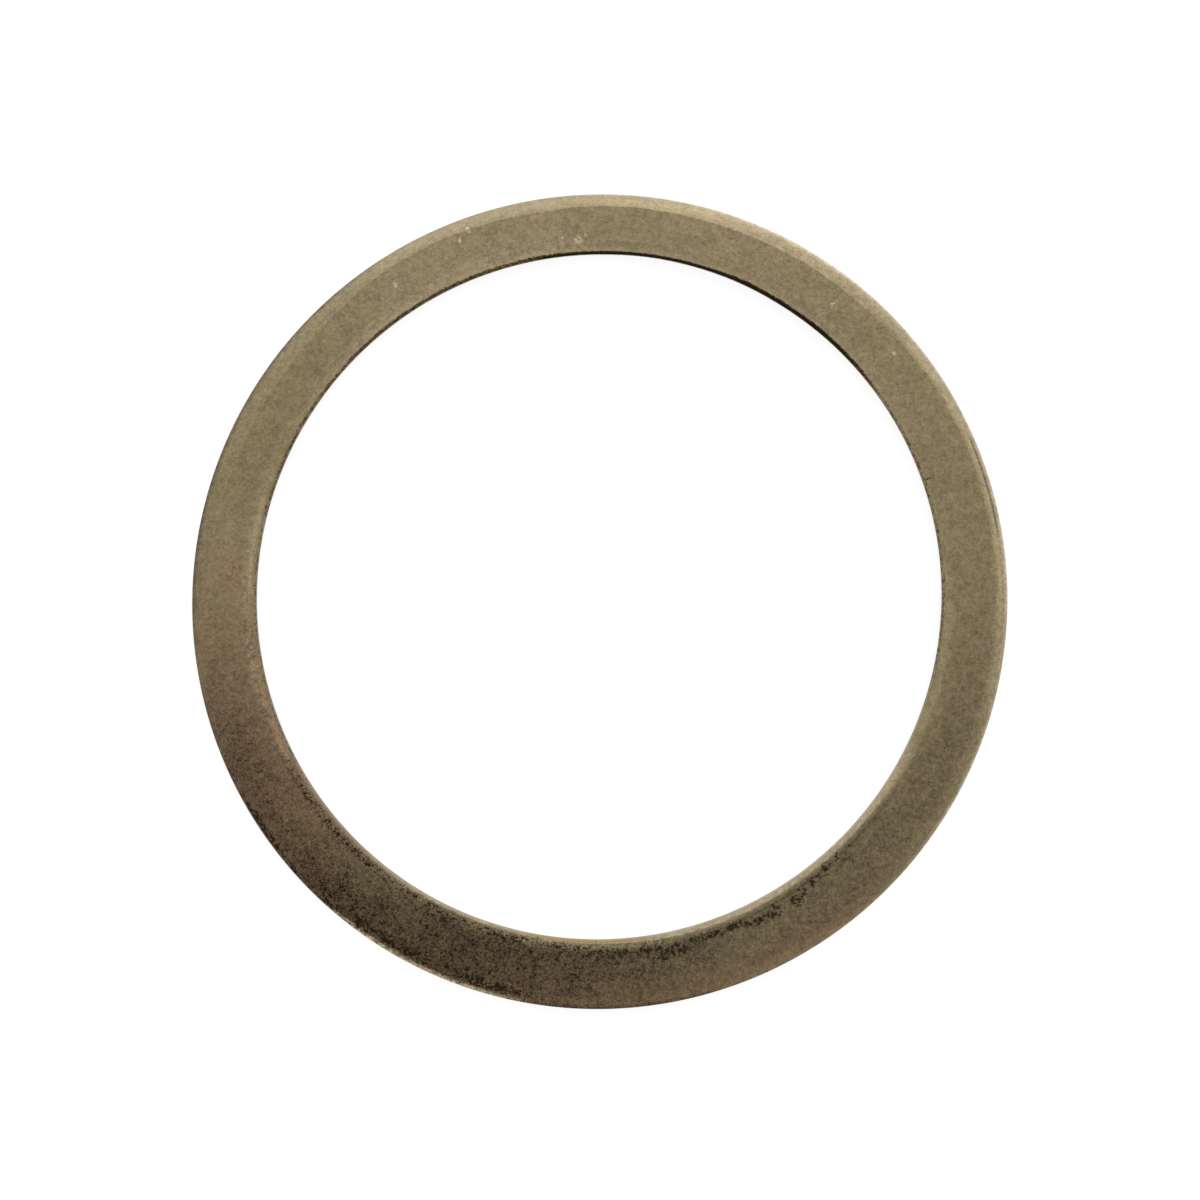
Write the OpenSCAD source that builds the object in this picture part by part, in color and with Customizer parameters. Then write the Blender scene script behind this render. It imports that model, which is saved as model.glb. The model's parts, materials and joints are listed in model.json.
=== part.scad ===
// Flat ring washer, punched from brass strip
// It lies on its die side, with the rolled edges of the punched side facing up.
// The origin is the centre of the bore, in the plane of the lower face.

/* [Ring] */
// Diameter of the bore
bore_d = 42.4; // [10:0.1:120]
// Radial width of the band between the bore and the rim
band_w = 3.8; // [2.5:0.05:12]
// Thickness between the two flat faces
thickness = 1; // [0.8:0.05:4]

/* [Rolled edges of the upper face] */
// Radial width of the roll along the rim
rim_roll_w = 1.1; // [0.4:0.05:1.4]
// Depth that the roll has fallen where it meets the rim
rim_roll_drop = 0.4; // [0.2:0.01:0.6]
// Height of the rim roll's arc above the straight line between its ends
rim_roll_crown = 0.05; // [0.02:0.01:0.08]
// Radial width of the roll along the bore
bore_roll_w = 0.5; // [0.4:0.05:0.8]
// Depth that the roll has fallen where it meets the bore
bore_roll_drop = 0.5; // [0.4:0.01:0.6]
// Height of the bore roll's arc above the straight line between its ends
bore_roll_crown = 0.09; // [0.02:0.01:0.1]

/* [Tumbled edges of the lower face] */
// Radius of the two lower edges
lower_edge_r = 0.1; // [0.04:0.01:0.2]

/* [Hidden] */
bore_r = bore_d / 2;
rim_r = bore_r + band_w;
brass_tone = [0.53, 0.47, 0.36];
overcut = 1;
$fn = 240;

// Waste outside a quarter circle about the local origin, towards +x and +y
module outside_arc(radius) {
    difference() {
        square(radius + overcut);
        circle(radius);
    }
}

// Waste above a roll that leaves the flat at the local origin and falls to [width, -drop]
module roll_waste(width, drop, crown) {
    half_chord = norm([width, drop]) / 2;
    arc_r = (pow(half_chord, 2) + pow(crown, 2)) / (2 * crown);
    inward = [-drop, -width] / (2 * half_chord);
    arc_centre = [width, -drop] / 2 + inward * (arc_r - crown);
    translate(arc_centre)
        outside_arc(arc_r);
}

// Half section of the ring: radius runs along x and height along y
module band_section() {
    difference() {
        translate([bore_r, 0])
            square([band_w, thickness]);
        translate([rim_r - rim_roll_w, thickness])
            roll_waste(rim_roll_w, rim_roll_drop, rim_roll_crown);
        translate([bore_r + bore_roll_w, thickness])
            mirror([1, 0])
                roll_waste(bore_roll_w, bore_roll_drop, bore_roll_crown);
        translate([rim_r - lower_edge_r, lower_edge_r])
            mirror([0, 1])
                outside_arc(lower_edge_r);
        translate([bore_r + lower_edge_r, lower_edge_r])
            rotate(180)
                outside_arc(lower_edge_r);
    }
}

module washer() {
    color(brass_tone)
        rotate_extrude()
            band_section();
}

washer();
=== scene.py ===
# %% [markdown]
# # A worn brass washer
# The real washer is a flat ring about 50 mm across and 1 mm thick, punched from brass strip. The punch
# drags the metal down as it cuts, so both upper edges are rolled over, and one side of the face is darker
# and browner: brown tarnish, darkened further with painted shade. This lesson dresses the ring of the
# construction model, and starts by loading that model as a fixed frame.

# %% Load the frame
import json
import math

import bpy
import numpy as np
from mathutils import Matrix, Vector


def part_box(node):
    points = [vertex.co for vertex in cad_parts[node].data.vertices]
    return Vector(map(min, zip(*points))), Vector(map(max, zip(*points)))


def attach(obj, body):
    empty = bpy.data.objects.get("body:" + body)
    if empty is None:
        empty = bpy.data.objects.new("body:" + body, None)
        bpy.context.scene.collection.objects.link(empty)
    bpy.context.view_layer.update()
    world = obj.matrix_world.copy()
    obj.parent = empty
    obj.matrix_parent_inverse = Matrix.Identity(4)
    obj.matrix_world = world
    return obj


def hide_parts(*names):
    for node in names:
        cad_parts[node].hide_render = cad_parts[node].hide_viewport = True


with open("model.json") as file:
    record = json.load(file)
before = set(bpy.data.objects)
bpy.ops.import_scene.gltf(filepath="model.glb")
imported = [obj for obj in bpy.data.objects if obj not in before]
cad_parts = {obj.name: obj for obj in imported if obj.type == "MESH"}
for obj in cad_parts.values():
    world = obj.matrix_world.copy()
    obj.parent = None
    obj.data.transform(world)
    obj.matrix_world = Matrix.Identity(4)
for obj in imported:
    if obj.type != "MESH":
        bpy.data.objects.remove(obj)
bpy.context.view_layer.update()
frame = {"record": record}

MM = 0.001
low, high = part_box("washer")
bore_mount = next(mount for mount in frame["record"]["mounts"] if mount["name"] == "bore")
bore_r = bore_mount["dims"]["r_mm"] * MM
rim_r = min(-low.x, high.x, -low.y, high.y)
thickness = high.z
print(f"bore {2 * bore_r / MM:.2f} mm, rim {2 * rim_r / MM:.2f} mm, thickness {thickness / MM:.2f} mm")

# %% [markdown]
# ## Bearings and sectors
# Much of this washer's look depends only on where you stand on the ring: the brown side and the dark
# stretch of the bore, which are both partly painted shade, and the side where the roll is wide. You could
# paint such things by hand. A bearing in degrees, clockwise from the far side (+Y), says them plainly, as
# on a compass, and can be changed later. A sector is a soft window in the bearing, worked out for the
# whole grid at once.

# %% Sector windows
def smooth_rise(value, start, end):
    """0 up to start and 1 from end, with the smooth step 3t^2 - 2t^3 between them."""
    t = np.clip((value - start) / (end - start), 0, 1)
    return t * t * (3 - 2 * t)


def sector(bearing, centre, half_width, fade):
    """1 within half_width degrees of the centre bearing, falling to 0 over the next fade degrees."""
    away = np.abs((bearing - centre + 180) % 360 - 180)
    return 1 - smooth_rise(away, half_width, half_width + fade)


print("sector at its edge:", sector(np.array([20.0, 25.0, 30.0]), 0, 20, 10))

# %% [markdown]
# ## Noise that closes on itself
# Dirt, pits and a ragged edge need irregular numbers. Blender has noise textures for shaders, but a mesh
# is made here from whole arrays, so a few lines of numpy do it: random numbers on a coarse lattice,
# blended smoothly. The lattice closes on itself round the ring, so there is no seam, and each use has its
# own seed, so every run gives the same ring.

# %% Lattice noise
def lattice_noise(bearing, across, cells_round, cells_across, seed):
    """Random numbers from 0 to 1 on a lattice of cells round the ring and across the band (across is 0
    to 1), blended with the smooth step along both."""
    values = np.random.default_rng(seed).random((cells_round, cells_across + 1))
    u = (bearing % 360) / 360 * cells_round
    v = np.clip(across, 0, 1) * cells_across
    i = np.floor(u).astype(int)
    j = np.minimum(np.floor(v).astype(int), cells_across - 1)
    s = smooth_rise(u - i, 0, 1)
    t = smooth_rise(v - j, 0, 1)
    here, there = i % cells_round, (i + 1) % cells_round
    near = values[here, j] * (1 - s) + values[there, j] * s
    far = values[here, j + 1] * (1 - s) + values[there, j + 1] * s
    return near * (1 - t) + far * t


print("noise at the seam:", lattice_noise(np.array([0.0, 360.0]), np.array([0.5, 0.5]), 40, 4, 1))

# %% [markdown]
# ## The section of the band
# Cut the washer through and you see its whole story: a flat, a wide roll falling to the rim, a short
# roll falling into the bore, straight walls and small tumbled edges underneath. A revolve of one fixed
# outline would give a perfect ring. The real punch landed a little off the middle, so the rim's roll is
# wider on one side and its crease wanders. That is why the section is worked out for every bearing at
# once, as rows of a grid.

# %% Lines and arcs
def line(start, end, share):
    """Points of the straight line from start to end, where share runs from 0 to 1."""
    return start[0] + (end[0] - start[0]) * share, start[1] + (end[1] - start[1]) * share


def arc_over(start, end, crown, share):
    """Points of the circular arc that stands crown to the left of the chord from start to end. Half the
    arc's angle is twice the angle whose tangent is crown over half the chord, and share runs from 0 to 1
    along the arc."""
    run, rise = end[0] - start[0], end[1] - start[1]
    half_chord = np.hypot(run, rise) / 2
    half_angle = 2 * np.arctan2(crown, half_chord)
    turned = (2 * share - 1) * half_angle
    along = (np.sin(turned) / np.sin(half_angle) + 1) / 2
    over = (np.cos(turned) - np.cos(half_angle)) / np.sin(half_angle) / 2
    return start[0] + run * along - rise * over, start[1] + rise * along + run * over


print("top of an arc over a level chord:", arc_over((0, 0), (2, 0), 0.5, 0.5))

# %% Sizes of the section
RIM_ROLL_W = 1.1 * MM
RIM_ROLL_DROP = 0.4 * MM
RIM_ROLL_CROWN = 0.05 * MM
RIM_CORNER_REACH = 0.06 * MM
RIM_CORNER_RISE = 0.03 * MM
RIM_CORNER_CROWN = 0.014 * MM
BORE_ROLL_W = 0.5 * MM
BORE_ROLL_DROP = 0.5 * MM
BORE_ROLL_CROWN = 0.09 * MM
BORE_CORNER_REACH = 0.03 * MM
BORE_CORNER_WIDTH = 0.01 * MM
BORE_CORNER_CROWN = 0.002 * MM
LOWER_EDGE_R = 0.1 * MM
LOWER_EDGE_CROWN = LOWER_EDGE_R * (1 - math.sqrt(0.5))
print(f"mean rim roll {RIM_ROLL_W / MM:.1f} mm wide, bore roll {BORE_ROLL_W / MM:.1f} mm wide")

# %% Rows of the section
LONG_STRETCH = 10
CROWDED = 0.75


def band_section(rim_roll_w, rim_roll_crown, bore_roll_w):
    """Radius and height of every section row at every bearing, outwards over the flat, down the rim, back
    under the ring and up the bore. What it is given are columns, one number for each bearing. A long
    stretch has its rows crowded towards both ends by a sine, so that the creases stay crisp."""
    bore_crease = (bore_r + bore_roll_w, thickness)
    rim_crease = (rim_r - rim_roll_w, thickness)
    rim_shoulder = (rim_r - RIM_CORNER_REACH, thickness - RIM_ROLL_DROP + RIM_CORNER_RISE)
    rim_top = (rim_r, thickness - RIM_ROLL_DROP - RIM_CORNER_REACH)
    rim_foot = (rim_r, LOWER_EDGE_R)
    rim_base = (rim_r - LOWER_EDGE_R, 0)
    bore_base = (bore_r + LOWER_EDGE_R, 0)
    bore_foot = (bore_r, LOWER_EDGE_R)
    bore_top = (bore_r, thickness - BORE_ROLL_DROP - BORE_CORNER_REACH)
    bore_shoulder = (bore_r + BORE_CORNER_WIDTH, thickness - BORE_ROLL_DROP + BORE_CORNER_REACH)
    # Number of rows, curve, start, end and crown of each stretch
    stretches = {
        "flat": (22, line, bore_crease, rim_crease, ()),
        "rim_roll": (13, arc_over, rim_crease, rim_shoulder, (rim_roll_crown,)),
        "rim_corner": (3, arc_over, rim_shoulder, rim_top, (RIM_CORNER_CROWN,)),
        "rim_wall": (3, line, rim_top, rim_foot, ()),
        "rim_foot": (3, arc_over, rim_foot, rim_base, (LOWER_EDGE_CROWN,)),
        "underside": (3, line, rim_base, bore_base, ()),
        "bore_foot": (3, arc_over, bore_base, bore_foot, (LOWER_EDGE_CROWN,)),
        "bore_wall": (4, line, bore_foot, bore_top, ()),
        "bore_corner": (2, arc_over, bore_top, bore_shoulder, (BORE_CORNER_CROWN,)),
        "bore_roll": (12, arc_over, bore_shoulder, bore_crease, (BORE_ROLL_CROWN,)),
    }
    rows, radii, heights, first = {}, [], [], 0
    for name, (count, curve, start, end, crown) in stretches.items():
        share = np.arange(count)[None, :] / count
        if count > LONG_STRETCH:
            share = share - CROWDED * np.sin(2 * np.pi * share) / (2 * np.pi)
        radius, height = curve(start, end, *crown, share)
        whole = (len(rim_roll_w), count)
        radii.append(np.broadcast_to(radius, whole))
        heights.append(np.broadcast_to(height, whole))
        rows[name] = slice(first, first + count)
        first += count
    return np.concatenate(radii, 1), np.concatenate(heights, 1), rows


even_width = np.full((1, 1), RIM_ROLL_W)
even_rows = band_section(even_width, RIM_ROLL_CROWN, BORE_ROLL_W)[2]
print("stretches of the section:", ", ".join(even_rows))

# %% [markdown]
# ## The off-centre punch
# On this washer the pale roll along the rim is widest at the left and narrowest at the right, and its
# inner edge wanders and is slightly ragged. One cosine of the bearing gives the off-centre part, a few
# soft stretches give the wandering and a little noise gives the raggedness. On the right the crease is
# soft, so the roll has a higher crown there and leaves the flat without a corner. The old ring is also
# out of round: its radius varies by almost a fifth of a millimetre, which a cosine of twice the bearing
# gives. It is only taken away from the radius, never added.

# %% Stretches of the ring
STEPS_ROUND = 1440

bearing = np.arange(STEPS_ROUND)[:, None] * (360 / STEPS_ROUND)


def stretch(strength, centre, half_width, fade):
    """A strength on one sector of the ring, with its bearings in degrees."""
    return strength * sector(bearing, centre, half_width, fade)


def total(stretches):
    """The sum of several stretches."""
    return sum(stretch(*each) for each in stretches)


def strongest(stretches):
    """The largest of several stretches at each bearing."""
    return np.max([stretch(*each) for each in stretches], axis=0)


def ripple(cells_round, seed):
    """Noise from 0 to 1 that varies only round the ring."""
    return lattice_noise(bearing, np.full_like(bearing, 0.5), cells_round, 1, seed)


rim_step = 2 * math.pi * rim_r / STEPS_ROUND
print(f"{STEPS_ROUND} steps round the ring, {rim_step / MM:.2f} mm each at the rim")

# %% Roll widths round the ring
WIDE_SIDE = 260
PUNCH_OFFSET = 0.17 * MM
RAGGED = 0.05 * MM
# Change in width or crown, middle bearing, half width and fade of each stretch
WIDER_RIM_ROLL = (
    (0.09 * MM, 28, 10, 14),
    (0.08 * MM, 47, 5, 9),
    (-0.04 * MM, 72, 14, 14),
    (0.10 * MM, 302, 8, 10),
    (-0.10 * MM, 332, 5, 9),
)
HIGHER_RIM_CROWN = (0.02 * MM, 76, 28, 18)
NARROWER_BORE_ROLL = (0.12 * MM, 142, 12, 20)
LONG_SIDE = 19
OVAL = 0.089 * MM

off_centre = PUNCH_OFFSET * np.cos(np.radians(bearing - WIDE_SIDE))
ragged_rim = ripple(cells_round=150, seed=11) + ripple(cells_round=420, seed=12) - 1
ragged_bore = ripple(cells_round=170, seed=13) - 0.5
rim_roll_w = RIM_ROLL_W + off_centre + total(WIDER_RIM_ROLL) + RAGGED * ragged_rim
rim_roll_crown = RIM_ROLL_CROWN + stretch(*HIGHER_RIM_CROWN)
bore_roll_w = BORE_ROLL_W + RAGGED * ragged_bore - stretch(*NARROWER_BORE_ROLL)
out_of_round = OVAL * (1 - np.cos(2 * np.radians(bearing - LONG_SIDE)))
radius, height, rows = band_section(rim_roll_w, rim_roll_crown, bore_roll_w)
print(f"{radius.shape[1]} rows, rim roll {rim_roll_w.min() / MM:.2f} to {rim_roll_w.max() / MM:.2f} mm")

# %% [markdown]
# ## Places on the ring
# Every stain and every rubbed edge has its own place. Each is a mask: one number from 0 to 1 for each
# grid point, which later colours the material as an attribute. You could paint masks by hand, but worked
# out they can also press the grime's pits into the mesh. A mask here is a place across the band times a
# place round the ring. In the names below, ACROSS holds millimetres from an edge of the band, and ROUND
# holds a strength, a middle bearing, a half width and a fade in degrees, or several such rows.

# %% Rows and distances
def on_rows(**weights):
    """One weight for each section row, by the name of its stretch, and 0 for the others."""
    weight = np.zeros(radius.shape[1])
    for name, value in weights.items():
        weight[rows[name]] = value
    return weight


upper = on_rows(flat=1, rim_roll=1, bore_roll=1)
bore_side = on_rows(bore_foot=1, bore_wall=1, bore_corner=1, bore_roll=1)
off_bore_wall = 1 - on_rows(bore_foot=1, bore_wall=1, bore_corner=1)
across = (radius - bore_r) / (rim_r - bore_r)
from_bore = (radius - bore_r) / MM
from_rim = (rim_r - radius) / MM
print(f"{int(upper.sum())} rows on the upper side, {int(bore_side.sum())} in the bore")

# %% Places across the band
def fall(distance, start, end):
    """1 up to start and 0 from end."""
    return 1 - smooth_rise(distance, start, end)


def band(distance, rise_from, rise_to, fall_from, fall_to):
    """1 between a rise and a fall, and 0 on both sides."""
    return smooth_rise(distance, rise_from, rise_to) * fall(distance, fall_from, fall_to)


def ridge(distance, middle, width):
    """1 on a line at the middle distance, falling off as exp(-(squared distance from it in widths))."""
    return np.exp(-(((distance - middle) / width) ** 2))


def blotches(cells_round, cells_across, seed):
    """Noise from 0 to 1 over the whole band."""
    return lattice_noise(bearing, across, cells_round, cells_across, seed)


print("a band from 1 to 2 mm:", band(np.array([0.5, 1.5, 2.5]), 0.9, 1.0, 2.0, 2.1))

# %% [markdown]
# ## Grime
# Dark dirt has settled in a line along the inner crease of the near side, near the rim at the near left,
# and in specks on the bore's roll there. The line wanders, so its distance from the bore is itself a sum
# of soft stretches and noise, and a paler skirt of dirt spreads from it over the flat. It could be
# painted in strokes. Here drifts and clusters of noise break it up, because real dirt holds on in clumps.

# %% Clumps of grime
CLUSTER_EDGE = (0.36, 0.64)
THIN_SHARE = 0.15
CLUSTER_SHARE = 0.6
DRIFT_SHARE = 0.4

drifts = blotches(cells_round=48, cells_across=3, seed=23)
clusters = smooth_rise(blotches(cells_round=240, cells_across=8, seed=24), *CLUSTER_EDGE)
broken_up = THIN_SHARE + CLUSTER_SHARE * clusters + DRIFT_SHARE * drifts
print(f"grime times {broken_up.min():.2f} to {broken_up.max():.2f}")

# %% Grime along the bore
LINE_AT = 0.48
LINE_BENDS_ROUND = ((0.37, 151.5, 4, 5), (0.12, 166, 4, 5), (-0.18, 198, 14, 7))
LINE_RAGGED = 0.25
LINE_WIDTH = 0.19
LINE_WIDER_ROUND = (0.06, 152, 12, 8)
LINE_STRENGTH = 0.74
LINE_WEAKER_ROUND = (0.4, 209, 8, 8)
SKIRT_ACROSS = (0.3, 0.5, 0.9, 1.6)
SKIRT_STRENGTH = 0.38
SKIRT_STRONGER_ROUND = (0.14, 187, 20, 12)
SKIRT_WEAKER_ROUND = (0.45, 203, 12, 10)
BORE_GRIME_ROUND = (1, 176, 30, 16)
BORE_GRIME_WEAKER_ROUND = (0.2, 181, 7, 8)

line_at = LINE_AT + total(LINE_BENDS_ROUND) + LINE_RAGGED * (ripple(cells_round=200, seed=25) - 0.5)
line_width = LINE_WIDTH + stretch(*LINE_WIDER_ROUND)
dark_line = LINE_STRENGTH * ridge(from_bore, line_at, line_width) * (1 - stretch(*LINE_WEAKER_ROUND))
skirt = band(from_bore, *SKIRT_ACROSS) * (SKIRT_STRENGTH + stretch(*SKIRT_STRONGER_ROUND))
skirt = skirt * (1 - stretch(*SKIRT_WEAKER_ROUND))
bore_grime = np.maximum(dark_line, skirt) * stretch(*BORE_GRIME_ROUND)
bore_grime = bore_grime * (1 - stretch(*BORE_GRIME_WEAKER_ROUND))
print(f"dark line {line_at.min():.2f} to {line_at.max():.2f} mm from the bore")

# %% Grime along the rim and on the bore's roll
RIM_GRIME_ACROSS = (0.28, 0.45, 0.65, 1.2)
RIM_GRIME_ROUND = (0.85, 206, 10, 14)
RIM_LINE_ACROSS = (0.05, 0.15, 0.35, 0.6)
RIM_LINE_ROUND = (0.75, 226, 10, 10)
ROLL_GRIME_ACROSS = (0.1, 0.18, 0.3, 0.5)
ROLL_GRIME_ROUND = (0.5, 212, 18, 14)

rim_grime = band(from_rim, *RIM_GRIME_ACROSS) * stretch(*RIM_GRIME_ROUND)
rim_line = band(from_rim, *RIM_LINE_ACROSS) * stretch(*RIM_LINE_ROUND)
roll_grime = band(from_bore, *ROLL_GRIME_ACROSS) * stretch(*ROLL_GRIME_ROUND)
grime = np.max([bore_grime, rim_grime, rim_line, roll_grime], axis=0)
grime = np.clip(upper * grime * broken_up, 0, 1)
print(f"grime on {100 * (grime > 0.3).mean():.0f} % of the grid")

# %% [markdown]
# ## Tarnish and painted shade
# The near side of the washer is darker and browner, more at the left than at the right: brown tarnish,
# darkened further with painted shade. One or two wide stretches give each side, and a slope across the
# band makes the left one darker towards the rim. Some edges are brown or dull by themselves, and two get
# a painted shade: the rim's roll at the left and the outer edge at the near side. The edge of the bore is
# painted pale at the near side, a painted highlight, and just outside it lies a narrow greenish band. All
# the brown and the painted shade go into one mask, so that the material can treat them as one finish,
# and the greenish band has a mask of its own.

# %% Brown sides
LEAN = 1.4
LEAN_BEARING = 190
BROWN_LEFT_ROUND = ((0.70, 206, 31, 34), (0.25, 203, 8, 22))
BROWN_LEFT_ACROSS = (0.3, 1.2)
BROWN_LEFT_AT_RIM = 0.84
BROWN_RIGHT_ROUND = (0.42, 142, 22, 36)
BROWN_RIGHT_ACROSS = (0.4, 1.2)
BROWN_RIGHT_AT_RIM = 0.45
PALE_SHOULDER_ACROSS = (0.3, 1.2)
PALE_SHOULDER_ROUND = (0.5, 110, 16, 12)
BARE_SHOULDER_ACROSS = (0.7, 1.4)
BARE_SHOULDER_ROUND = (0.85, 104, 8, 9)
BROWN_BORE_ACROSS = (-0.05, 0.12)


def paler_at_rim(share, reach):
    """The share at the rim, rising to 1 over the reach."""
    return share + (1 - share) * smooth_rise(from_rim, *reach)


# The brown sides are brown tarnish darkened with painted shade: the near side's dark look is painted into
# the colour, not made by the light.
leaning = 1 + LEAN * (across - 0.5) * np.sin(np.radians(bearing - LEAN_BEARING))
brown_left = total(BROWN_LEFT_ROUND) * leaning * paler_at_rim(BROWN_LEFT_AT_RIM, BROWN_LEFT_ACROSS)
brown_right = stretch(*BROWN_RIGHT_ROUND) * paler_at_rim(BROWN_RIGHT_AT_RIM, BROWN_RIGHT_ACROSS)
pale_shoulder = fall(from_bore, *PALE_SHOULDER_ACROSS) * stretch(*PALE_SHOULDER_ROUND)
bare_shoulder = fall(from_bore, *BARE_SHOULDER_ACROSS) * stretch(*BARE_SHOULDER_ROUND)
brown_right = brown_right * (1 - np.maximum(pale_shoulder, bare_shoulder))
brown_side = np.maximum(brown_left, brown_right) * smooth_rise(from_bore, *BROWN_BORE_ACROSS)
print(f"brown sides on {100 * (brown_side > 0.3).mean():.0f} % of the grid")

# %% Brown edges
BROWN_ROLL_ACROSS = (0, 0.12, 0.4, 0.6)
BROWN_ROLL_ROUND = ((1, 216, 20, 12), (0.62, 246, 12, 20))
BROWN_RIM_ACROSS = (0.05, 0.5)
BROWN_RIM_ROUND = (0.5, 292, 24, 16)
# A painted shade that darkens the rim's roll at the left.
SHADED_ROLL_ACROSS = (0.9, 1.2)
SHADED_ROLL_ROUND = (0.14, 292, 24, 16)
DULL_ROLL_ACROSS = (0.25, 0.45, 0.8, 1.1)
DULL_ROLL_ROUND = ((0.2, 37, 10, 10), (0.3, 137, 6, 6))
# A painted shade along the outer edge at the near side, added to the brown mask.
NEAR_EDGE_SHADE_ACROSS = (0.1, 0.35)
NEAR_EDGE_SHADE_ROUND = (0.35, 177, 10, 8)

brown_roll = band(from_bore, *BROWN_ROLL_ACROSS) * strongest(BROWN_ROLL_ROUND)
brown_rim = fall(from_rim, *BROWN_RIM_ACROSS) * stretch(*BROWN_RIM_ROUND)
# The rim's brown edge at the left, with painted shade on its roll.
brown_rim = brown_rim + fall(from_rim, *SHADED_ROLL_ACROSS) * stretch(*SHADED_ROLL_ROUND)
dull_roll = band(from_rim, *DULL_ROLL_ACROSS) * total(DULL_ROLL_ROUND)
# The painted shade of the near outer edge.
near_edge_shade = fall(from_rim, *NEAR_EDGE_SHADE_ACROSS) * stretch(*NEAR_EDGE_SHADE_ROUND)
tarnish_and_shade = np.max([brown_side, brown_roll, brown_rim, dull_roll], axis=0) + near_edge_shade
print(f"tarnish up to {tarnish_and_shade.max():.2f} before it is clipped")

# %% Painted highlight on the bore edge, and greenish band
# The pale near edge of the bore is a painted highlight: it clears the brown there and is painted pale with
# the rubbed places.
HIGHLIT_EDGE_AT = 0.04
HIGHLIT_EDGE_WIDER_ROUND = (0.08, 145, 22, 18)
HIGHLIT_EDGE_BEFORE = 0.07
HIGHLIT_EDGE_AFTER = 0.05
HIGHLIT_EDGE_ROUND = (1, 168, 42, 16)
MOSS_ACROSS = (0.06, 0.2, 0.4, 0.55)
MOSS_ROUND = (1, 160, 26, 14)

edge_at = HIGHLIT_EDGE_AT + stretch(*HIGHLIT_EDGE_WIDER_ROUND)
highlit_bore_edge = fall(from_bore, edge_at - HIGHLIT_EDGE_BEFORE, edge_at + HIGHLIT_EDGE_AFTER)
highlit_bore_edge = highlit_bore_edge * stretch(*HIGHLIT_EDGE_ROUND)
tarnish_and_shade = off_bore_wall * np.clip(tarnish_and_shade, 0, 1) * (1 - highlit_bore_edge)
moss = upper * band(from_bore, *MOSS_ACROSS) * stretch(*MOSS_ROUND)
print(f"tarnish on {100 * (tarnish_and_shade > 0.5).mean():.0f} % of the grid")

# %% [markdown]
# ## Nicks, dents and a scored line
# A few marks are single events: pale nicks on the far side, dark dents along the bore's crease, most of
# them at the near left, and a line scored just inside the rim on the right. They could be sculpted one by
# one. Each nick or dent is a small bowl instead, with a bearing, a radius, two reaches and a depth, and
# all the bowls are pressed in at once. The rosy stains at the left are bowls with no depth.

# %% Nicks and dents
# Bearing in degrees, then radius, reach round the ring, reach across the band and depth in mm
PALE_NICKS = (
    (326.0, 22.83, 0.15, 0.38, 0.012),
    (338.2, 23.50, 0.13, 0.24, 0.010),
    (340.0, 23.88, 0.15, 0.36, 0.010),
    (354.2, 21.95, 0.13, 0.30, 0.010),
    (356.8, 21.76, 0.32, 0.36, 0.012),
    (358.0, 22.05, 0.13, 0.16, 0.010),
    (40.1, 22.87, 0.13, 0.34, 0.008),
    (52.4, 23.30, 0.17, 0.19, 0.012),
)
DARK_DENTS = (
    (232.0, 21.48, 0.19, 0.13, 0.030),
    (225.4, 21.46, 0.15, 0.12, 0.025),
    (223.5, 21.50, 0.13, 0.12, 0.025),
    (219.0, 21.56, 0.18, 0.12, 0.028),
    (72.7, 21.34, 0.08, 0.14, 0.030),
)


def bowls(marks):
    """Depth in metres and share of full depth of oval bowls on the grid: each mark's depth times
    exp(-(distance squared)), with the distance counted in reaches."""
    columns = np.array(marks, dtype=float).T[:, :, None, None]
    at, mark_r, reach_round, reach_across, depth = columns
    away = np.radians((bearing[None] - at + 180) % 360 - 180) * mark_r / reach_round
    distance = np.hypot(away, (radius[None] / MM - mark_r) / reach_across)
    share = upper * np.exp(-(distance ** 2))
    return (depth * share).sum(0) * MM, share.max(0)


nick_depth, fresh = bowls(PALE_NICKS)
dent_depth, dented = bowls(DARK_DENTS)
grime = np.maximum(grime, dented)
print(f"{len(PALE_NICKS)} pale nicks and {len(DARK_DENTS)} dark dents")

# %% Rosy stains and the scored line
ROSY_STAINS = (
    (258.7, 23.30, 0.5, 1.0, 0),
    (254.0, 23.40, 0.7, 0.9, 0),
    (271.9, 22.55, 1.3, 0.9, 0),
)
ROSY_RIM_ACROSS = (1.4, 3.4)
ROSY_RIM_ROUND = (0.6, 200, 54, 14)
ROSY_LEFT_ROUND = (0.6, 244, 12, 18)
SCORED_AT = 0.38
SCORED_WIDTH = 0.08
SCORED_ROUND = ((1, 76, 6, 3), (0.5, 89, 12, 8))
SCORED_BROWN = 0.9

rosy_rim = smooth_rise(from_bore, *ROSY_RIM_ACROSS) * stretch(*ROSY_RIM_ROUND)
rosy_side = upper * np.maximum(rosy_rim, stretch(*ROSY_LEFT_ROUND))
blush = np.maximum(bowls(ROSY_STAINS)[1], rosy_side)
scored = upper * ridge(from_rim, SCORED_AT, SCORED_WIDTH) * strongest(SCORED_ROUND)
tarnish_and_shade = np.maximum(tarnish_and_shade, SCORED_BROWN * scored)
print(f"{len(ROSY_STAINS)} rosy stains, line scored {SCORED_AT} mm from the rim")

# %% [markdown]
# ## Relief
# Punched strip is never quite flat: it waves by a few thousandths of a millimetre, the grime sits in
# pits, the scored line is a groove and the walls carry upright shear marks. All of this only takes metal
# away, so the ring stays inside its own box. A displace modifier could do it from a texture. Here the
# depth is pressed in against the section's outward normal, which comes from the differences between
# neighbouring rows, so the masks and the relief stay on the same grid. The bore is also a little worn at
# the far side.

# %% Depth of the relief
WAVE = 0.008 * MM
FINE_WAVE_SHARE = 0.5
PIT = 0.012 * MM
SCORE = 0.006 * MM
SHEAR = 0.012 * MM

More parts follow.
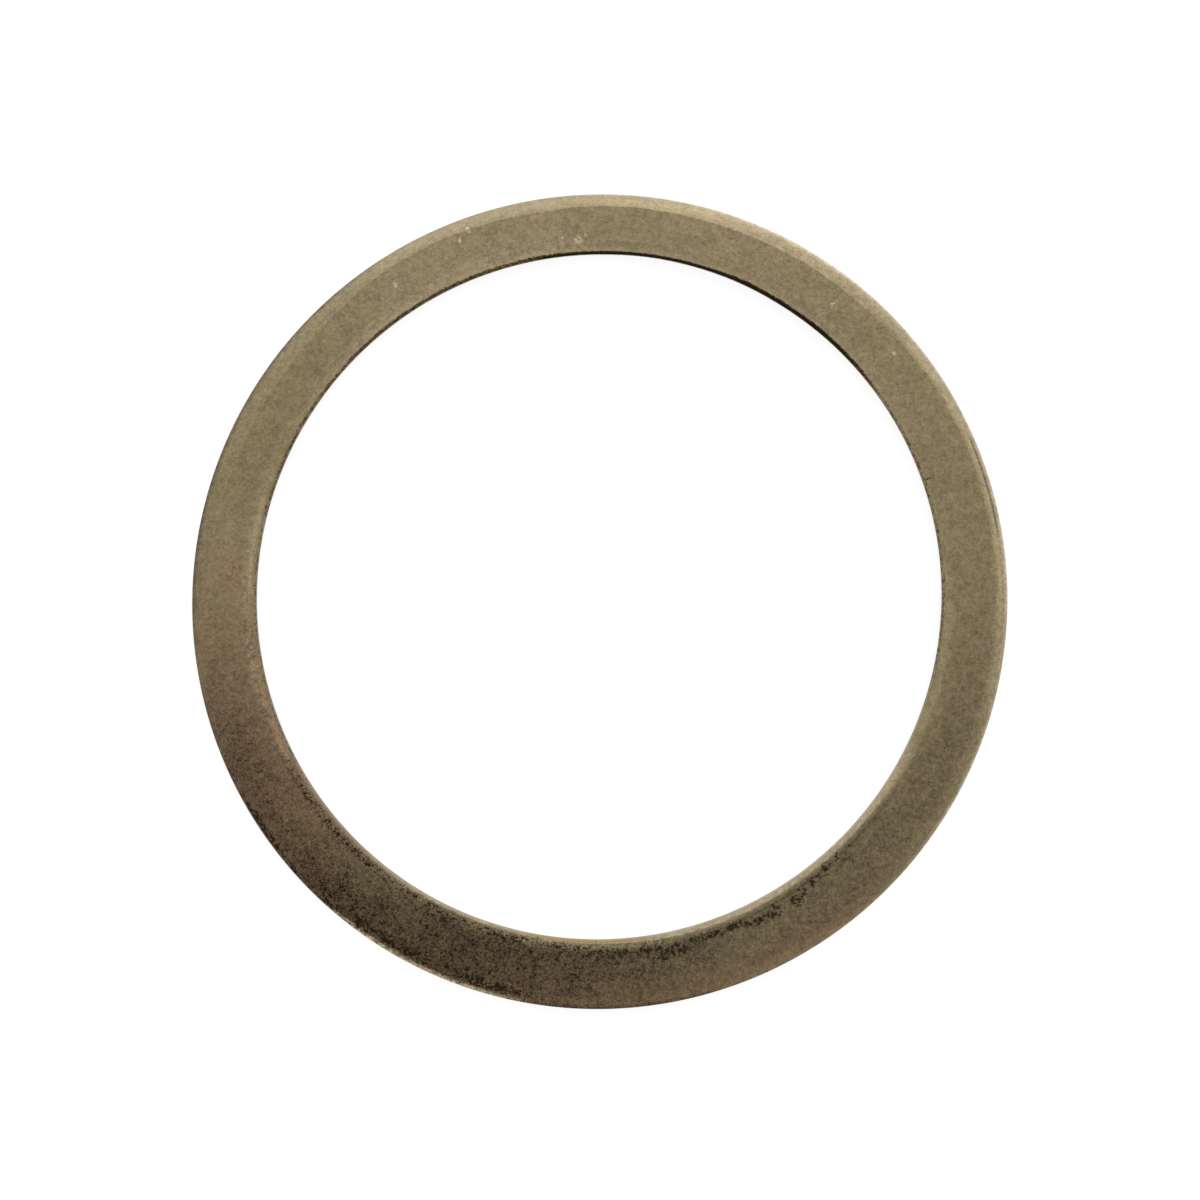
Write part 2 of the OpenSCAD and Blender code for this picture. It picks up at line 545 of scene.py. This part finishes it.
waves = blotches(cells_round=60, cells_across=2, seed=31)
waves = waves + FINE_WAVE_SHARE * blotches(cells_round=200, cells_across=6, seed=32)
pits = grime * blotches(cells_round=720, cells_across=20, seed=35)
streaks = ripple(cells_round=720, seed=33) * ripple(cells_round=90, seed=34)
depth = upper * (WAVE * waves + PIT * pits) + nick_depth + dent_depth + SCORE * scored
depth = depth + on_rows(rim_wall=1, bore_wall=1) * SHEAR * streaks
print(f"deepest relief {1000 * depth.max() / MM:.0f} micrometres")

# %% Press the relief into the section
BORE_WEAR_ACROSS = (0, 0.5)
BORE_WEAR_ROUND = (0.03 * MM, 17, 7, 10)

along_r = np.roll(radius, -1, 1) - np.roll(radius, 1, 1)
along_z = np.roll(height, -1, 1) - np.roll(height, 1, 1)
along = np.hypot(along_r, along_z)
worn = fall(from_bore, *BORE_WEAR_ACROSS) * stretch(*BORE_WEAR_ROUND)
radius = radius + worn + depth * along_z / along
height = height - depth * along_r / along
print(f"section heights {height.min() / MM:.3f} to {height.max() / MM:.3f} mm")

# %% [markdown]
# ## Grid to mesh
# The grid closes both ways, round the ring and round the section, like a torus, so every point joins its
# right and upper neighbour with indices that wrap. The four corners of each face run anticlockwise seen
# from outside, which is what tells Blender which side is out.

# %% Build the mesh
def closed_grid_faces(steps_round, steps_along):
    """Corner indices of the quads of a grid that wraps both ways: a point, the next one round, and the
    same pair in the next row."""
    i, j = np.meshgrid(np.arange(steps_round), np.arange(steps_along), indexing="ij")
    this_turn, next_turn = i * steps_along, (i + 1) % steps_round * steps_along
    next_row = (j + 1) % steps_along
    corners = [this_turn + j, next_turn + j, next_turn + next_row, this_turn + next_row]
    return np.stack(corners, -1).reshape(-1, 4)


angle = np.radians(bearing)
round_r = radius - out_of_round
points = np.stack([round_r * np.sin(angle), round_r * np.cos(angle), height], -1).reshape(-1, 3)
faces = closed_grid_faces(*radius.shape)
ring_mesh = bpy.data.meshes.new("washer_ring")
ring_mesh.from_pydata(points.tolist(), [], faces.tolist())
ring_mesh.shade_smooth()
ring = bpy.data.objects.new("washer_ring", ring_mesh)
bpy.context.scene.collection.objects.link(ring)
print(f"washer_ring: {len(points)} points, {2 * len(faces)} triangles")

# %% [markdown]
# ## Edges and rubbed places
# The edges of the ring each have their own colour. The bore wall is black-brown at the far side and
# rusty brown at the left and right: dirt with painted shade, darkest at the far side. The bore's roll is
# rubbed pale from the far left round to the right, and so are a patch of the flat, a stretch of the left
# crease and parts of the rim, whose edge is polished at the right. The pale edge of the bore at the near
# side is a painted highlight. Two short stretches of edge are golden, and the one at the near edge of
# the bore is a painted highlight too. A wear mask baked from the mesh's curvature would rub all edges
# alike, so these masks are placed one by one, like the stains.

# %% Bore wall
# The dark bore wall is dirt with painted shade, darkest at the far side, where the wall faces away from the
# light.
WALL_RISE = (0.06, 0.24)
WALL_TOP = 0.44
WALL_FADE = 0.28
WALL_LOWER_ROUND = (0.08, 7, 10, 10)
WALL_ROUND = (
    (1, 20, 22, 22),
    (0.5, 334, 18, 16),
    (0.4, 306, 20, 14),
    (0.3, 262, 20, 14),
    (0.33, 82, 20, 14),
)

above_floor = height / MM
wall_top = WALL_TOP - stretch(*WALL_LOWER_ROUND)
dark_wall = smooth_rise(above_floor, *WALL_RISE) * fall(above_floor, wall_top, wall_top + WALL_FADE)
dark_wall = bore_side * dark_wall * strongest(WALL_ROUND)
print(f"dark wall on {100 * (dark_wall > 0.3).mean():.1f} % of the grid")

# %% Rubbed face and painted highlight
INNER_ROLL_ACROSS = (0.42, 0.62)
INNER_ROLL_ROUND = ((0.45, 3, 50, 22), (0.2, 338, 12, 16), (0.12, 86, 10, 10))
PALE_CREASE_AT = 0.42
PALE_CREASE_WIDTH = 0.14
PALE_CREASE_ROUND = (0.3, 274, 16, 14)
PALE_FLAT_ACROSS = (1.0, 1.3)
PALE_FLAT_ROUND = (0.13, 336, 10, 16)
PALE_PATCH = ((275.0, 22.70, 1.6, 0.9, 0),)
PALE_PATCH_SHARE = 0.24
HIGHLIT_EDGE_SHARE = 0.8

inner_roll = fall(from_bore, *INNER_ROLL_ACROSS) * total(INNER_ROLL_ROUND)
pale_crease = ridge(from_bore, PALE_CREASE_AT, PALE_CREASE_WIDTH) * stretch(*PALE_CREASE_ROUND)
pale_flat = smooth_rise(from_rim, *PALE_FLAT_ACROSS) * stretch(*PALE_FLAT_ROUND)
rubbed_and_highlit_face = upper * (inner_roll + pale_crease + pale_flat)
rubbed_and_highlit_face = rubbed_and_highlit_face + PALE_PATCH_SHARE * bowls(PALE_PATCH)[1]
# The painted highlight on the near edge of the bore.
rubbed_and_highlit_face = rubbed_and_highlit_face + HIGHLIT_EDGE_SHARE * bore_side * highlit_bore_edge
print(f"rubbed face up to {rubbed_and_highlit_face.max():.2f}")

# %% Rubbed rim and golden edges
# Pairs of a place across the band and a place round the ring
RUBBED_RIM = (
    ((0.03, 0.28), (0.5, 64, 62, 10)),
    ((0.1, 0.34), (1, 205, 8, 10)),
    ((0.5, 1.5), (0.14, 96, 8, 10)),
)
POLISHED_ACROSS = (0.08, 0.32)
POLISHED_ROUND = ((0.5, 58, 26, 16), (0.35, 120, 6, 8))
# The golden edge of the bore at the near side is a painted highlight.
GOLDEN_BORE_ACROSS = (0.02, 0.13)
GOLDEN_BORE_ROUND = (1, 181.5, 6, 7)
GOLDEN_RIM_ACROSS = (0.06, 0.24)
GOLDEN_RIM_ROUND = (0.5, 140, 8, 6)

rubbed_rim = sum(fall(from_rim, *reach) * stretch(*place) for reach, place in RUBBED_RIM)
polished = fall(from_rim, *POLISHED_ACROSS) * strongest(POLISHED_ROUND)
rubbed_and_highlit = np.clip(rubbed_and_highlit_face + off_bore_wall * (rubbed_rim + polished), 0, 1)
golden_bore = fall(from_bore, *GOLDEN_BORE_ACROSS) * stretch(*GOLDEN_BORE_ROUND)
golden_bore = golden_bore * on_rows(bore_wall=1, bore_corner=1, bore_roll=1)
golden_rim = upper * fall(from_rim, *GOLDEN_RIM_ACROSS) * stretch(*GOLDEN_RIM_ROUND)
gilt = np.maximum(golden_bore, golden_rim)
print(f"rubbed on {100 * (rubbed_and_highlit > 0.3).mean():.0f} % of the grid")

# %% [markdown]
# ## Masks for the material
# A point attribute carries each mask from numpy to the material, with no image in between. Blender
# blends it across each face, and the grid is fine enough for that.

# %% Attributes
masks = {"grime": grime, "tarnish_and_shade": tarnish_and_shade, "moss": moss, "fresh": fresh, "blush": blush}
masks.update({"wall_dirt_and_shade": dark_wall, "rubbed_and_highlit": rubbed_and_highlit, "gilt": gilt})
for name, mask in masks.items():
    layer = ring_mesh.attributes.new(name, "FLOAT", "POINT")
    layer.data.foreach_set("value", np.ascontiguousarray(mask, dtype=np.float32).ravel())
print("attributes:", ", ".join(masks))

# %% [markdown]
# ## An unrolled map
# The UV map is there for a baked copy of the ring. It unrolls the band like a tape and lays the tape in
# four rows, so that every part of the surface, walls included, gets the same share of a square picture.

# %% Unroll the band in four rows
TAPE_ROWS = 4
TAPE_MARGIN = 0.004

tape = np.concatenate([[0], np.cumsum(along.mean(0))])
tape = TAPE_MARGIN + (1 - 2 * TAPE_MARGIN) * tape / tape[-1]
turn_step, row_step = np.divmod(np.arange(len(faces)), radius.shape[1])
tape_row, step_in_row = np.divmod(turn_step, STEPS_ROUND // TAPE_ROWS)
corner_turn = (step_in_row[:, None] + np.array([0, 1, 1, 0])) / (STEPS_ROUND // TAPE_ROWS)
corner_tape = tape[row_step[:, None] + np.array([0, 0, 1, 1])]
u = TAPE_MARGIN + (1 - 2 * TAPE_MARGIN) * corner_turn
v = (tape_row[:, None] + corner_tape) / TAPE_ROWS
unrolled = ring_mesh.uv_layers.new(name="OFBake")
unrolled.uv.foreach_set("vector", np.stack([u, v], -1).astype(np.float32).ravel())
print(f"tape map: {TAPE_ROWS} rows, each {360 / TAPE_ROWS:.0f} degrees of the ring")

# %% [markdown]
# ## Shader sums as Python
# A node tree for a worn metal is mostly arithmetic: mix this much brown where that mask is high. Written
# as nodes it is dozens of lines, so one small class wraps a socket and lets ordinary Python operators add
# the Math nodes. Every other kind of node comes from its one node method.

# %% The socket class
class Wire:
    """A node socket that can be used in sums, such as 1 - mask * 0.5."""

    def __init__(self, tree, socket=None):
        self.tree = tree
        self.socket = socket

    def node(self, kind, settings=(), inputs=(), output=0):
        """Adds a node of that kind, applies its settings, fills or links its inputs, returns one output."""
        made = self.tree.nodes.new(kind)
        for name, value in dict(settings).items():
            setattr(made, name, value)
        for name, value in dict(inputs).items():
            if isinstance(value, Wire):
                self.tree.links.new(value.socket, made.inputs[name])
            else:
                made.inputs[name].default_value = value
        return Wire(self.tree, made.outputs[output]) if made.outputs else None

    def math(self, operation, first, second):
        """One Math node on two values or sockets."""
        return self.node("ShaderNodeMath", {"operation": operation}, {0: first, 1: second})

    def __add__(self, other):
        return self.math("ADD", self, other)

    def __radd__(self, other):
        return self.math("ADD", other, self)

    def __sub__(self, other):
        return self.math("SUBTRACT", self, other)

    def __rsub__(self, other):
        return self.math("SUBTRACT", other, self)

    def __mul__(self, other):
        return self.math("MULTIPLY", self, other)

    def __rmul__(self, other):
        return self.math("MULTIPLY", other, self)

    def rise(self, start, end):
        """0 up to start and 1 from end, with a smooth step between."""
        steps = {"Value": self, "From Min": start, "From Max": end}
        return self.node("ShaderNodeMapRange", {"interpolation_type": "SMOOTHSTEP"}, steps)

    def mix(self, low_colour, high_colour):
        """The low colour where this is 0 and the high colour where it is 1. On a Mix node, inputs 6 and 7
        are the two colours and output 2 is the mixed one."""
        colours = {0: self, 6: low_colour, 7: high_colour}
        return self.node("ShaderNodeMix", {"data_type": "RGBA"}, colours, 2)

    def noise(self, scale, detail, roughness=0.5):
        """Noise over the piece's own coordinates, with scale in waves to the metre."""
        place = self.node("ShaderNodeTexCoord", output="Object")
        settings = {"Vector": place, "Scale": scale, "Detail": detail, "Roughness": roughness}
        return self.node("ShaderNodeTexNoise", inputs=settings)

    def mask(self, name):
        """A point attribute of the mesh as a number."""
        return self.node("ShaderNodeAttribute", {"attribute_name": name}, output="Fac")


print("Wire can", ", ".join(name for name in vars(Wire) if not name.startswith("__")))

# %% [markdown]
# ## The brass
# Old brass is a dull olive gold. Clean metal shows only in fresh nicks and where an edge is rubbed. The
# browned side is a dark umber, brown tarnish darkened with painted shade, the dark bore wall is dirt
# with painted shade, the grime is nearly black and isn't metallic, and the whole face has a fine mottle
# from tumbling. Colour, roughness and a very shallow bump all come from the same few noises and masks,
# so that a dark speck is also a dull one.

# %% Brass colours
OLIVE = (0.240, 0.193, 0.103, 1)
ROSY = (0.250, 0.195, 0.112, 1)
BLUSH = (0.262, 0.165, 0.094, 1)
# The two umbers colour the near side: brown tarnish, darkened with painted shade.
UMBER = (0.078, 0.055, 0.032, 1)
RED_UMBER = (0.100, 0.060, 0.036, 1)
MOSS = (0.106, 0.087, 0.047, 1)
# This pale colour is for rubbed places and for the painted highlight on the near edge of the bore.
RUBBED_AND_HIGHLIT = (0.40, 0.32, 0.20, 1)
# This golden colour is partly a painted highlight at the near edge of the bore.
GILT = (0.34, 0.235, 0.105, 1)
CLEAN = (0.60, 0.50, 0.31, 1)
DIRT = (0.016, 0.011, 0.006, 1)
# The wall's brown and black colour the bore wall: dirt with painted shade.
WALL_BROWN = (0.115, 0.074, 0.028, 1)
WALL_BLACK = (0.020, 0.013, 0.009, 1)

brass = bpy.data.materials.new("tarnished_brass")
brass.use_nodes = True
brass.node_tree.nodes.clear()
sheet = Wire(brass.node_tree)
print("material", brass.name)

# %% [markdown]
# ## Noises and masks of the brass
# The noises run from soft clouds nearly two millimetres wide to a grain of a tenth of a millimetre. A 3-D
# noise shows its lattice where a flat face lies on one of its planes, so no scale here gives a whole
# number at the flat's height of 1 mm. The grime mask doesn't colour the brass directly, as a painted one
# would: it lifts the flecks past the threshold at which they turn to dirt, so the dirt stays speckled.
# The dark bore wall gets its ragged border in the same way.

# %% Noises
MOTTLED_SHARE = 0.4

cloud = sheet.noise(scale=600, detail=3)
patches = sheet.noise(scale=1500, detail=2)
mottle = sheet.noise(scale=3400, detail=3, roughness=0.6)
grain = sheet.noise(scale=8700, detail=2, roughness=0.7)
specks = sheet.noise(scale=4400, detail=3, roughness=0.65)
flecks = sheet.noise(scale=4600, detail=3, roughness=0.65)
clumps = (1 - MOTTLED_SHARE) * specks + MOTTLED_SHARE * mottle
print("noises in", len(brass.node_tree.nodes), "nodes")

# %% Brown, dirt and bore wall
BROWN_EVERYWHERE = 0.05
FLECK_LIFT = 0.27
FLECK_EDGE = (0.59, 0.71)
GRIME_EDGE = (0.03, 0.2)
PINHOLE_EDGE = (0.64, 0.74)
RAGGED_CLUMPS = 1.5
RAGGED_GRAIN = 0.9
WALL_EDGE = (0.02, 0.15)
BROWN_WALL_SHADE_EDGE = (0.22, 0.42)
BLACK_WALL_SHADE_EDGE = (0.52, 0.72)


def blotchy(name, noise, least, swing):
    """A mask made uneven: the mask times the sum of least and swing times the noise."""
    return sheet.mask(name) * (least + swing * noise)


browned = BROWN_EVERYWHERE + blotchy("tarnish_and_shade", cloud, least=0.6, swing=0.7)
crowding = sheet.mask("grime")
dirty = (flecks + FLECK_LIFT * crowding).rise(*FLECK_EDGE) * crowding.rise(*GRIME_EDGE)
pinholes = specks.rise(*PINHOLE_EDGE)
# The bore wall's mask: dirt with painted shade, given a ragged border below.
wall_dirt_and_shade = sheet.mask("wall_dirt_and_shade")
ragged = wall_dirt_and_shade + RAGGED_CLUMPS * (clumps - 0.5) + RAGGED_GRAIN * (grain - 0.5)
brown_wall_dirt_and_shade = ragged.rise(*BROWN_WALL_SHADE_EDGE) * wall_dirt_and_shade.rise(*WALL_EDGE)
black_wall_dirt_and_shade = ragged.rise(*BLACK_WALL_SHADE_EDGE) * wall_dirt_and_shade.rise(*WALL_EDGE)
print("masks in", len(brass.node_tree.nodes), "nodes")

# %% Brass tone
ROSY_EDGE = (0.35, 0.7)
CLEAN_SHARE = 0.75
FRESH_EDGE = (0.2, 0.9)
CLUMP_EDGE = (0.4, 0.6)

rosy = blotchy("blush", mottle, least=0.4, swing=0.9)
clean = CLEAN_SHARE * sheet.mask("fresh").rise(*FRESH_EDGE) * clumps.rise(*CLUMP_EDGE)
tone = cloud.rise(*ROSY_EDGE).mix(OLIVE, ROSY)
# The browned near side: brown tarnish with painted shade.
tone = browned.mix(rosy.mix(tone, BLUSH), rosy.mix(UMBER, RED_UMBER))
tone = blotchy("moss", mottle, least=0.6, swing=0.5).mix(tone, MOSS)
# Pale rubbed places, and the painted highlight on the near edge of the bore.
tone = blotchy("rubbed_and_highlit", mottle, least=0.5, swing=1).mix(tone, RUBBED_AND_HIGHLIT)
# Golden edges; the one at the near edge of the bore is a painted highlight.
tone = sheet.mask("gilt").mix(tone, GILT)
tone = clean.mix(tone, CLEAN)
print("brass tone in", len(brass.node_tree.nodes), "nodes")

# %% Fine unevenness and dirt
PATCH_SWING = 0.45
MOTTLE_SWING = 0.8
BROWN_MOTTLE_SWING = 1.1
GRAIN_SWING = 1.1
BROWN_GRAIN_SWING = 3.6
DIRT_SHARE = 0.95
PINHOLE_SHARE = 0.25

uneven = 1 + PATCH_SWING * (patches - 0.5)
uneven = uneven + (mottle - 0.5) * (MOTTLE_SWING + BROWN_MOTTLE_SWING * browned)
uneven = uneven + (grain - 0.5) * (GRAIN_SWING + BROWN_GRAIN_SWING * browned * browned)
tone = sheet.node("ShaderNodeVectorMath", {"operation": "SCALE"}, {0: tone, "Scale": uneven})
# Painted shade and dirt darken the bore wall here.
tone = black_wall_dirt_and_shade.mix(brown_wall_dirt_and_shade.mix(tone, WALL_BROWN), WALL_BLACK)
tone = (DIRT_SHARE * dirty + PINHOLE_SHARE * pinholes).mix(tone, DIRT)
print("uneven tone in", len(brass.node_tree.nodes), "nodes")

# %% Brass surface
GRAIN_DEPTH = 0.003 * MM
GRAIN_HEIGHT = 0.6
MOTTLE_HEIGHT = 0.8
COVERED = 0.9
ROUGHNESS = 0.40
MOTTLE_ROUGHER = 0.15
BROWN_ROUGHER = 0.10
DIRT_ROUGHER = 0.25

tumbled = GRAIN_HEIGHT * grain + MOTTLE_HEIGHT * mottle
bumps = sheet.node("ShaderNodeBump", inputs={"Strength": 1.0, "Distance": GRAIN_DEPTH, "Height": tumbled})
rough = ROUGHNESS + MOTTLE_ROUGHER * (mottle - 0.5) + BROWN_ROUGHER * browned + DIRT_ROUGHER * dirty
surface = {
    "Base Color": tone,
    "Metallic": (1 - COVERED * dirty) * (1 - COVERED * brown_wall_dirt_and_shade),
    "Roughness": rough,
    "Specular IOR Level": 0.0,
    "Normal": bumps,
}
shaded = sheet.node("ShaderNodeBsdfPrincipled", inputs=surface)
sheet.node("ShaderNodeOutputMaterial", inputs={"Surface": shaded})
ring_mesh.materials.append(brass)
print("brass has", len(brass.node_tree.nodes), "nodes")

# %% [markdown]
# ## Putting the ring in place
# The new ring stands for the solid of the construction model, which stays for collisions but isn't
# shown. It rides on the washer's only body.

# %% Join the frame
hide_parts("washer")
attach(ring, "root")
print("washer_ring stands for the node washer")

# %% [markdown]
# ## A pale floor
# The floor is a wide white sheet. Part of its white is diffuse, so it catches the washer's soft shadow,
# and part is shown only to camera, mirror and glass rays, so it looks white without throwing more light
# on the metal.

# %% Floor
FLOOR_HALF = 3.0
FLOOR_DROP = 0.01 * MM

floor_mesh = bpy.data.meshes.new("floor")
floor_signs = ((-1, -1), (1, -1), (1, 1), (-1, 1))
floor_corners = [(x * FLOOR_HALF, y * FLOOR_HALF, -FLOOR_DROP) for x, y in floor_signs]
floor_mesh.from_pydata(floor_corners, [], [(0, 1, 2, 3)])
floor = bpy.data.objects.new("floor", floor_mesh)
bpy.context.scene.collection.objects.link(floor)
print(f"floor {2 * FLOOR_HALF:.0f} m square")

# %% White sheet
FLOOR_DIFFUSE = (0.20, 0.20, 0.20, 1)
FLOOR_GLOW = 0.84
SHOWN_RAYS = ("Is Camera Ray", "Is Glossy Ray", "Is Transmission Ray")

white = bpy.data.materials.new("white_sheet")
white.use_nodes = True
white.node_tree.nodes.clear()
paper = Wire(white.node_tree)
seen = sum(paper.node("ShaderNodeLightPath", output=ray) for ray in SHOWN_RAYS)
glow = paper.node("ShaderNodeEmission", inputs={"Color": (1, 1, 1, 1), "Strength": seen * FLOOR_GLOW})
matt = paper.node("ShaderNodeBsdfDiffuse", inputs={"Color": FLOOR_DIFFUSE})
both = paper.node("ShaderNodeAddShader", inputs={0: glow, 1: matt})
paper.node("ShaderNodeOutputMaterial", inputs={"Surface": both})
floor_mesh.materials.append(white)
print("white sheet has", len(white.node_tree.nodes), "nodes")

# %% [markdown]
# ## Soft light
# The flats of the washer face the ceiling and the rolls face the walls of the room. In the photograph the
# rolls of the far half are paler than the flat, and those of the near half aren't. So this world has an
# even ceiling and a pale horizon that is brightest, and a little cooler, on the far side, like a window.
# A low white band meets the floor, so that it has no hard end in a low view. One wide, weak lamp at the
# window adds a soft direction. Nothing here depends on the camera.

# %% World
CEILING = 0.80
CEILING_SLOPE = 0.18
CEILING_BEARING = math.radians(-25)
OVERHEAD_RISE = (0.45, 0.85)
HORIZON = 0.86
HORIZON_LIFT = 1.45
LOW_BAND_RISE = (0.09, 0.2)
LIGHT_BEARING = math.radians(18)
WINDOW_RISE = (-0.3, 0.9)
WINDOW_TINT = (0.95, 1.0, 1.10, 1)

world = bpy.data.worlds.new("soft_room")
bpy.context.scene.world = world
world.use_nodes = True
world.node_tree.nodes.clear()
sky = Wire(world.node_tree)
direction = sky.node("ShaderNodeTexCoord", output="Generated")
east = sky.node("ShaderNodeSeparateXYZ", inputs={0: direction}, output="X")
north = sky.node("ShaderNodeSeparateXYZ", inputs={0: direction}, output="Y")
up = sky.node("ShaderNodeSeparateXYZ", inputs={0: direction}, output="Z")
lit_side = east * math.sin(LIGHT_BEARING) + north * math.cos(LIGHT_BEARING)
far_side = east * math.sin(CEILING_BEARING) + north * math.cos(CEILING_BEARING)
ceiling = CEILING + CEILING_SLOPE * far_side
window = lit_side.rise(*WINDOW_RISE)
horizon = HORIZON + HORIZON_LIFT * window + (1 - HORIZON) * (1 - up.rise(*LOW_BAND_RISE))
overhead = up.rise(*OVERHEAD_RISE)
tint = (window * (1 - overhead)).mix((1, 1, 1, 1), WINDOW_TINT)
brightness = ceiling * overhead + horizon * (1 - overhead)
backdrop = sky.node("ShaderNodeBackground", inputs={"Color": tint, "Strength": brightness})
sky.node("ShaderNodeOutputWorld", inputs={"Surface": backdrop})
print("world has", len(world.node_tree.nodes), "nodes")

# %% Lamp
LAMP_RISE = math.radians(25)
LAMP_AWAY = 0.30
LAMP_SIZE = 0.22
LAMP_POWER = 0.08

lamp_data = bpy.data.lights.new("far_window", "AREA")
lamp_data.shape = "DISK"
lamp_data.size = LAMP_SIZE
lamp_data.energy = LAMP_POWER
lamp = bpy.data.objects.new("far_window", lamp_data)
lamp.location = LAMP_AWAY * Vector((
    math.sin(LIGHT_BEARING) * math.cos(LAMP_RISE),
    math.cos(LIGHT_BEARING) * math.cos(LAMP_RISE),
    math.sin(LAMP_RISE),
))
lamp.rotation_euler = (-lamp.location).to_track_quat("-Z", "Y").to_euler()
bpy.context.scene.collection.objects.link(lamp)
print(f"lamp {LAMP_AWAY / MM:.0f} mm away")

# %% [markdown]
# ## The camera
# The photograph was taken from close by: the bore's outline sits 5 pixels higher than the rim's, which
# a camera about two radii away and 6 degrees off the axis explains. It also leans a little to the right.
# The lens follows from that distance and from how large the ring is in the picture, and the aim puts the
# ring's outline where the photograph has it.

# %% Camera
PICTURE_PX = 1200
RIM_PX = 410.3
VIEW_DISTANCE = 53.4 * MM
VIEW_TILT = math.radians(6.0)
VIEW_LEAN = math.radians(0.85)
AIM = Vector((0.176, -1.103, 0.5)) * MM
SENSOR = 36.0
CLIP_START = 1 * MM
CLIP_END = 20

camera_data = bpy.data.cameras.new("close_camera")
camera_data.sensor_width = SENSOR
camera_data.lens = SENSOR * RIM_PX / PICTURE_PX * VIEW_DISTANCE / rim_r
camera_data.clip_start = CLIP_START
camera_data.clip_end = CLIP_END
camera = bpy.data.objects.new("close_camera", camera_data)
camera.location = AIM + VIEW_DISTANCE * Vector((
    math.sin(VIEW_LEAN) * math.cos(VIEW_TILT),
    -math.sin(VIEW_TILT),
    math.cos(VIEW_LEAN) * math.cos(VIEW_TILT),
))
camera.rotation_euler = (VIEW_TILT, VIEW_LEAN, 0)
bpy.context.scene.collection.objects.link(camera)
bpy.context.scene.camera = camera
bpy.context.scene.view_settings.view_transform = "Standard"
print(f"lens {camera_data.lens:.1f} mm")

# %% [markdown]
